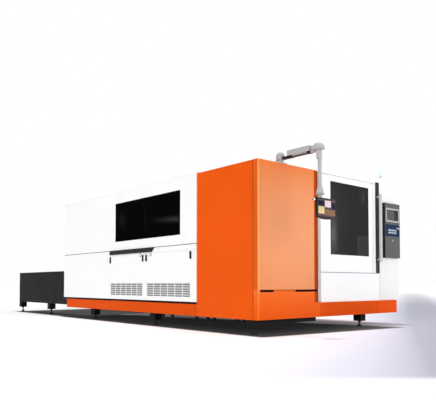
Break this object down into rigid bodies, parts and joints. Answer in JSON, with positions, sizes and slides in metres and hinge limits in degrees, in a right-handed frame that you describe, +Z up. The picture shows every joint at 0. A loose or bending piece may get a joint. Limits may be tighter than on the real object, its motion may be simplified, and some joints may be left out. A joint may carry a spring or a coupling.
{
  "type": "fiber laser cutting machine",
  "caption": "Enclosed sheet metal laser cutter with an orange and white cover, sliding front door, swinging monitor arm and an exchange table with toothed pallets behind it.",
  "frame": {"origin": "on the floor, under the middle of the bounding box", "axes": "+Z up, the operator's front faces -Y, the exchange table stands at +Y"},
  "size_m": [3.3812, 9.12, 2.535],
  "materials": {
    "orange_paint": "glossy",
    "white_paint": "glossy",
    "black_trim": "satin",
    "charcoal_paint": "matt",
    "console_grey": "satin",
    "arm_aluminium": "satin",
    "steel": "machined",
    "dark_glass": "polished",
    "blue_keypad": "satin",
    "button_plastic": "glossy",
    "lamp_lens": "polished"
  },
  "bodies": {
    "frame": {"underframe": "charcoal_paint", "levelling_foot_1": "steel", "levelling_foot_2": "steel", "levelling_foot_3": "steel", "levelling_foot_4": "steel", "levelling_foot_5": "steel", "levelling_foot_6": "steel", "machine_bed": "charcoal_paint", "rail_left": "steel", "rail_right": "steel", "skirt_front": "orange_paint", "skirt_left": "orange_paint", "skirt_right": "orange_paint", "fascia_upper": "orange_paint", "fascia_lower": "orange_paint", "orange_cabinet": "orange_paint", "upper_panel_front": "white_paint", "upper_panel_rear": "white_paint", "lower_panel_rear": "white_paint", "side_window_front": "dark_glass", "side_window_rear": "dark_glass", "door_header": "white_paint", "grip_trim": "black_trim", "right_wall": "white_paint", "rear_wall": "white_paint", "roof": "white_paint", "front_lower_panel": "white_paint", "front_column": "white_paint", "door_track": "black_trim", "console_housing": "console_grey", "console_screen": "black_trim", "console_keypad": "blue_keypad", "lamp_pole": "white_paint", "signal_lamp": "lamp_lens", "arm_base": "arm_aluminium", "table_frame": "charcoal_paint"},
    "front_door": {"front_door": "white_paint", "front_window": "dark_glass", "door_edge_strip": "black_trim", "door_handle": "arm_aluminium"},
    "service_door_front": {"service_door_front": "white_paint"},
    "service_door_rear": {"service_door_rear": "white_paint"},
    "latch_front_outer": {"latch_front_outer": "black_trim"},
    "latch_front_inner": {"latch_front_inner": "black_trim"},
    "latch_rear_outer": {"latch_rear_outer": "black_trim"},
    "latch_rear_inner": {"latch_rear_inner": "black_trim"},
    "console_flap": {"console_flap": "console_grey"},
    "power_button": {"power_button": "button_plastic"},
    "arm": {"arm_hub": "arm_aluminium", "arm_beam": "arm_aluminium", "arm_elbow": "arm_aluminium", "arm_tube": "arm_aluminium", "arm_coupling": "arm_aluminium"},
    "pendant": {"pendant_housing": "black_trim", "pendant_screen": "dark_glass"},
    "gantry": {"gantry_beam": "steel"},
    "head_carriage": {"head_carriage": "charcoal_paint"},
    "cutting_head": {"cutting_head": "steel"},
    "upper_pallet": {"upper_pallet": "steel"},
    "lower_pallet": {"lower_pallet": "steel"}
  },
  "joints": [
    {"name": "front_door_slide", "type": "slide", "parent": "frame", "child": "front_door", "axis": [-1, 0, 0], "range_m": [0, 1.1]},
    {"name": "arm_swing", "type": "hinge", "parent": "frame", "child": "arm", "pos_m": [-1.14935, -3.78, 2.34], "axis": [0, 0, 1], "range_deg": [-60, 60]},
    {"name": "pendant_swivel", "type": "hinge", "parent": "arm", "child": "pendant", "pos_m": [-1.14935, -4.453, 1.8], "axis": [0, 0, 1], "range_deg": [-150, 150]},
    {"name": "service_door_front_tilt", "type": "hinge", "parent": "frame", "child": "service_door_front", "pos_m": [-1.67435, -1.9211, 0.4013], "axis": [0, -1, 0], "range_deg": [0, 20]},
    {"name": "service_door_rear_tilt", "type": "hinge", "parent": "frame", "child": "service_door_rear", "pos_m": [-1.67435, -0.66015, 0.4013], "axis": [0, -1, 0], "range_deg": [0, 20]},
    {"name": "latch_front_outer_flip", "type": "hinge", "parent": "service_door_front", "child": "latch_front_outer", "pos_m": [-1.68265, -2.4752, 1.137], "axis": [0, 1, 0], "range_deg": [0, 60]},
    {"name": "latch_front_inner_flip", "type": "hinge", "parent": "service_door_front", "child": "latch_front_inner", "pos_m": [-1.68265, -1.292, 1.137], "axis": [0, 1, 0], "range_deg": [0, 60]},
    {"name": "latch_rear_outer_flip", "type": "hinge", "parent": "service_door_rear", "child": "latch_rear_outer", "pos_m": [-1.68265, -0.1183, 1.137], "axis": [0, 1, 0], "range_deg": [0, 60]},
    {"name": "latch_rear_inner_flip", "type": "hinge", "parent": "service_door_rear", "child": "latch_rear_inner", "pos_m": [-1.68265, -1.188, 1.137], "axis": [0, 1, 0], "range_deg": [0, 60]},
    {"name": "console_flap_drop", "type": "hinge", "parent": "frame", "child": "console_flap", "pos_m": [1.43815, -3.8733, 1.1203], "axis": [1, 0, 0], "range_deg": [0, 90]},
    {"name": "power_button_press", "type": "slide", "parent": "frame", "child": "power_button", "axis": [0, 1, 0], "range_m": [0, 0.003], "stiffness_N_per_m": 400},
    {"name": "gantry_travel", "type": "slide", "parent": "frame", "child": "gantry", "axis": [0, 1, 0], "range_m": [-0.2, 3.3]},
    {"name": "carriage_travel", "type": "slide", "parent": "gantry", "child": "head_carriage", "axis": [1, 0, 0], "range_m": [-0.78, 0.78]},
    {"name": "head_lift", "type": "slide", "parent": "head_carriage", "child": "cutting_head", "axis": [0, 0, 1], "range_m": [-0.09, 0]},
    {"name": "upper_pallet_travel", "type": "slide", "parent": "frame", "child": "upper_pallet", "axis": [0, 1, 0], "range_m": [0, 3.72]},
    {"name": "lower_pallet_travel", "type": "slide", "parent": "frame", "child": "lower_pallet", "axis": [0, 1, 0], "range_m": [-3.72, 0]}
  ],
  "couplings": [
    {"joint": "lower_pallet_travel", "follows": "upper_pallet_travel", "ratio": -1}
  ]
}
